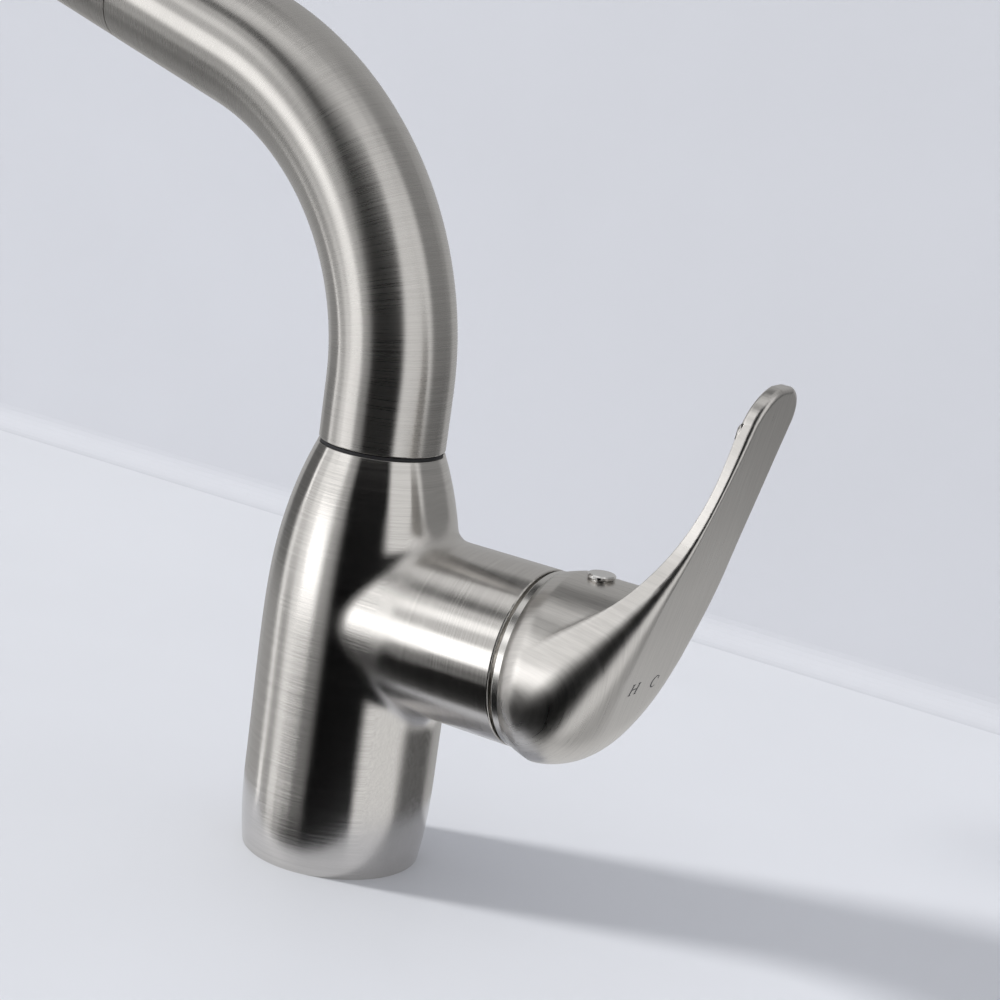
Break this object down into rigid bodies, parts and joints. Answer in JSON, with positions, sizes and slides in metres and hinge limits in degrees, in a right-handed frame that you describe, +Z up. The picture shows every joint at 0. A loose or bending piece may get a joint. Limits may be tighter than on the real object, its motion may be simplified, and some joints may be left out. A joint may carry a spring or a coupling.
{
  "type": "pull-out kitchen faucet",
  "caption": "Single-hole kitchen mixer with a tapered column, a side lever on a short barrel, a bent swivelling spout and a docked pull-out spray wand.",
  "frame": {"origin": "centre of the base on the deck surface", "axes": "+Z up out of the deck, +X along the lever barrel away from the column, -Y towards the person at the sink"},
  "size_m": [0.3522, 0.0536, 0.3213],
  "materials": {
    "brushed_nickel": "fine brushed nickel",
    "bright_trim": "polished",
    "black_rubber": "moulded rubber",
    "black_glide": "moulded glide plastic",
    "brass_part": "turned brass",
    "zinc_steel": "zinc plated",
    "grey_plastic": "moulded plastic",
    "white_plastic": "moulded plastic",
    "disc_ceramic": "lapped ceramic",
    "dark_face": "soft moulded plastic"
  },
  "bodies": {
    "body": {"body_casting": "brushed_nickel", "base_gasket": "black_rubber", "mounting_shank": "brass_part", "swivel_post": "brass_part", "spout_o_rings": "black_rubber", "swivel_washer": "black_glide", "post_clip": "zinc_steel", "cartridge_base": "grey_plastic", "cartridge_seals": "black_rubber", "fixed_disc": "disc_ceramic", "cartridge_housing": "white_plastic", "cartridge_nut": "brass_part", "trim_ring": "bright_trim"},
    "clamp": {"rubber_washer": "black_rubber", "steel_washer": "zinc_steel", "mounting_nut": "brass_part", "jack_screws": "zinc_steel"},
    "temperature_rotor": {"cartridge_rotor": "grey_plastic", "pivot_pin": "zinc_steel"},
    "disc_slide": {"moving_disc": "disc_ceramic", "disc_driver": "grey_plastic"},
    "handle": {"handle_lever": "brushed_nickel", "cartridge_stem": "brass_part", "handle_set_screw": "zinc_steel", "screw_cap": "bright_trim"},
    "spout": {"spout_tube": "brushed_nickel", "swivel_bush": "black_glide", "dock_bush": "black_glide"},
    "wand": {"wand_shell": "brushed_nickel", "wand_neck": "grey_plastic", "hose_nipple": "brass_part", "check_valve": "white_plastic", "inner_tube": "white_plastic", "diverter_body": "grey_plastic", "spray_plate": "dark_face", "face_ring": "bright_trim", "aerator": "white_plastic", "rocker_cradle": "dark_face", "rocker_pin": "zinc_steel"},
    "rocker": {"mode_rocker": "dark_face"}
  },
  "joints": [
    {"name": "nut_slide", "type": "slide", "parent": "body", "child": "clamp", "axis": [0, 0, -1], "range_m": [0, 0.14]},
    {"name": "temperature_turn", "type": "hinge", "parent": "body", "child": "temperature_rotor", "pos_m": [0.043, 0, 0.0723], "axis": [1, 0, 0], "range_deg": [-45, 45]},
    {"name": "flow_lift", "type": "hinge", "parent": "temperature_rotor", "child": "handle", "pos_m": [0.043, 0, 0.0723], "axis": [0, 1, 0], "range_deg": [0, 20]},
    {"name": "disc_travel", "type": "slide", "parent": "temperature_rotor", "child": "disc_slide", "axis": [0, 0, 1], "range_m": [0, 0.00279]},
    {"name": "spout_swivel", "type": "hinge", "parent": "body", "child": "spout", "pos_m": [0, 0, 0.126], "axis": [0, 0, 1], "range_deg": [-15, 195]},
    {"name": "wand_pull", "type": "slide", "parent": "spout", "child": "wand", "axis": [-0.9537, 0, 0.3007], "range_m": [0, 0.25]},
    {"name": "spray_rocker", "type": "hinge", "parent": "wand", "child": "rocker", "pos_m": [-0.11667, 0, 0.25007], "axis": [0, 1, 0], "range_deg": [0, 12]}
  ],
  "couplings": [
    {"joint": "disc_travel", "follows": "flow_lift", "m_per_rad": 0.008}
  ]
}
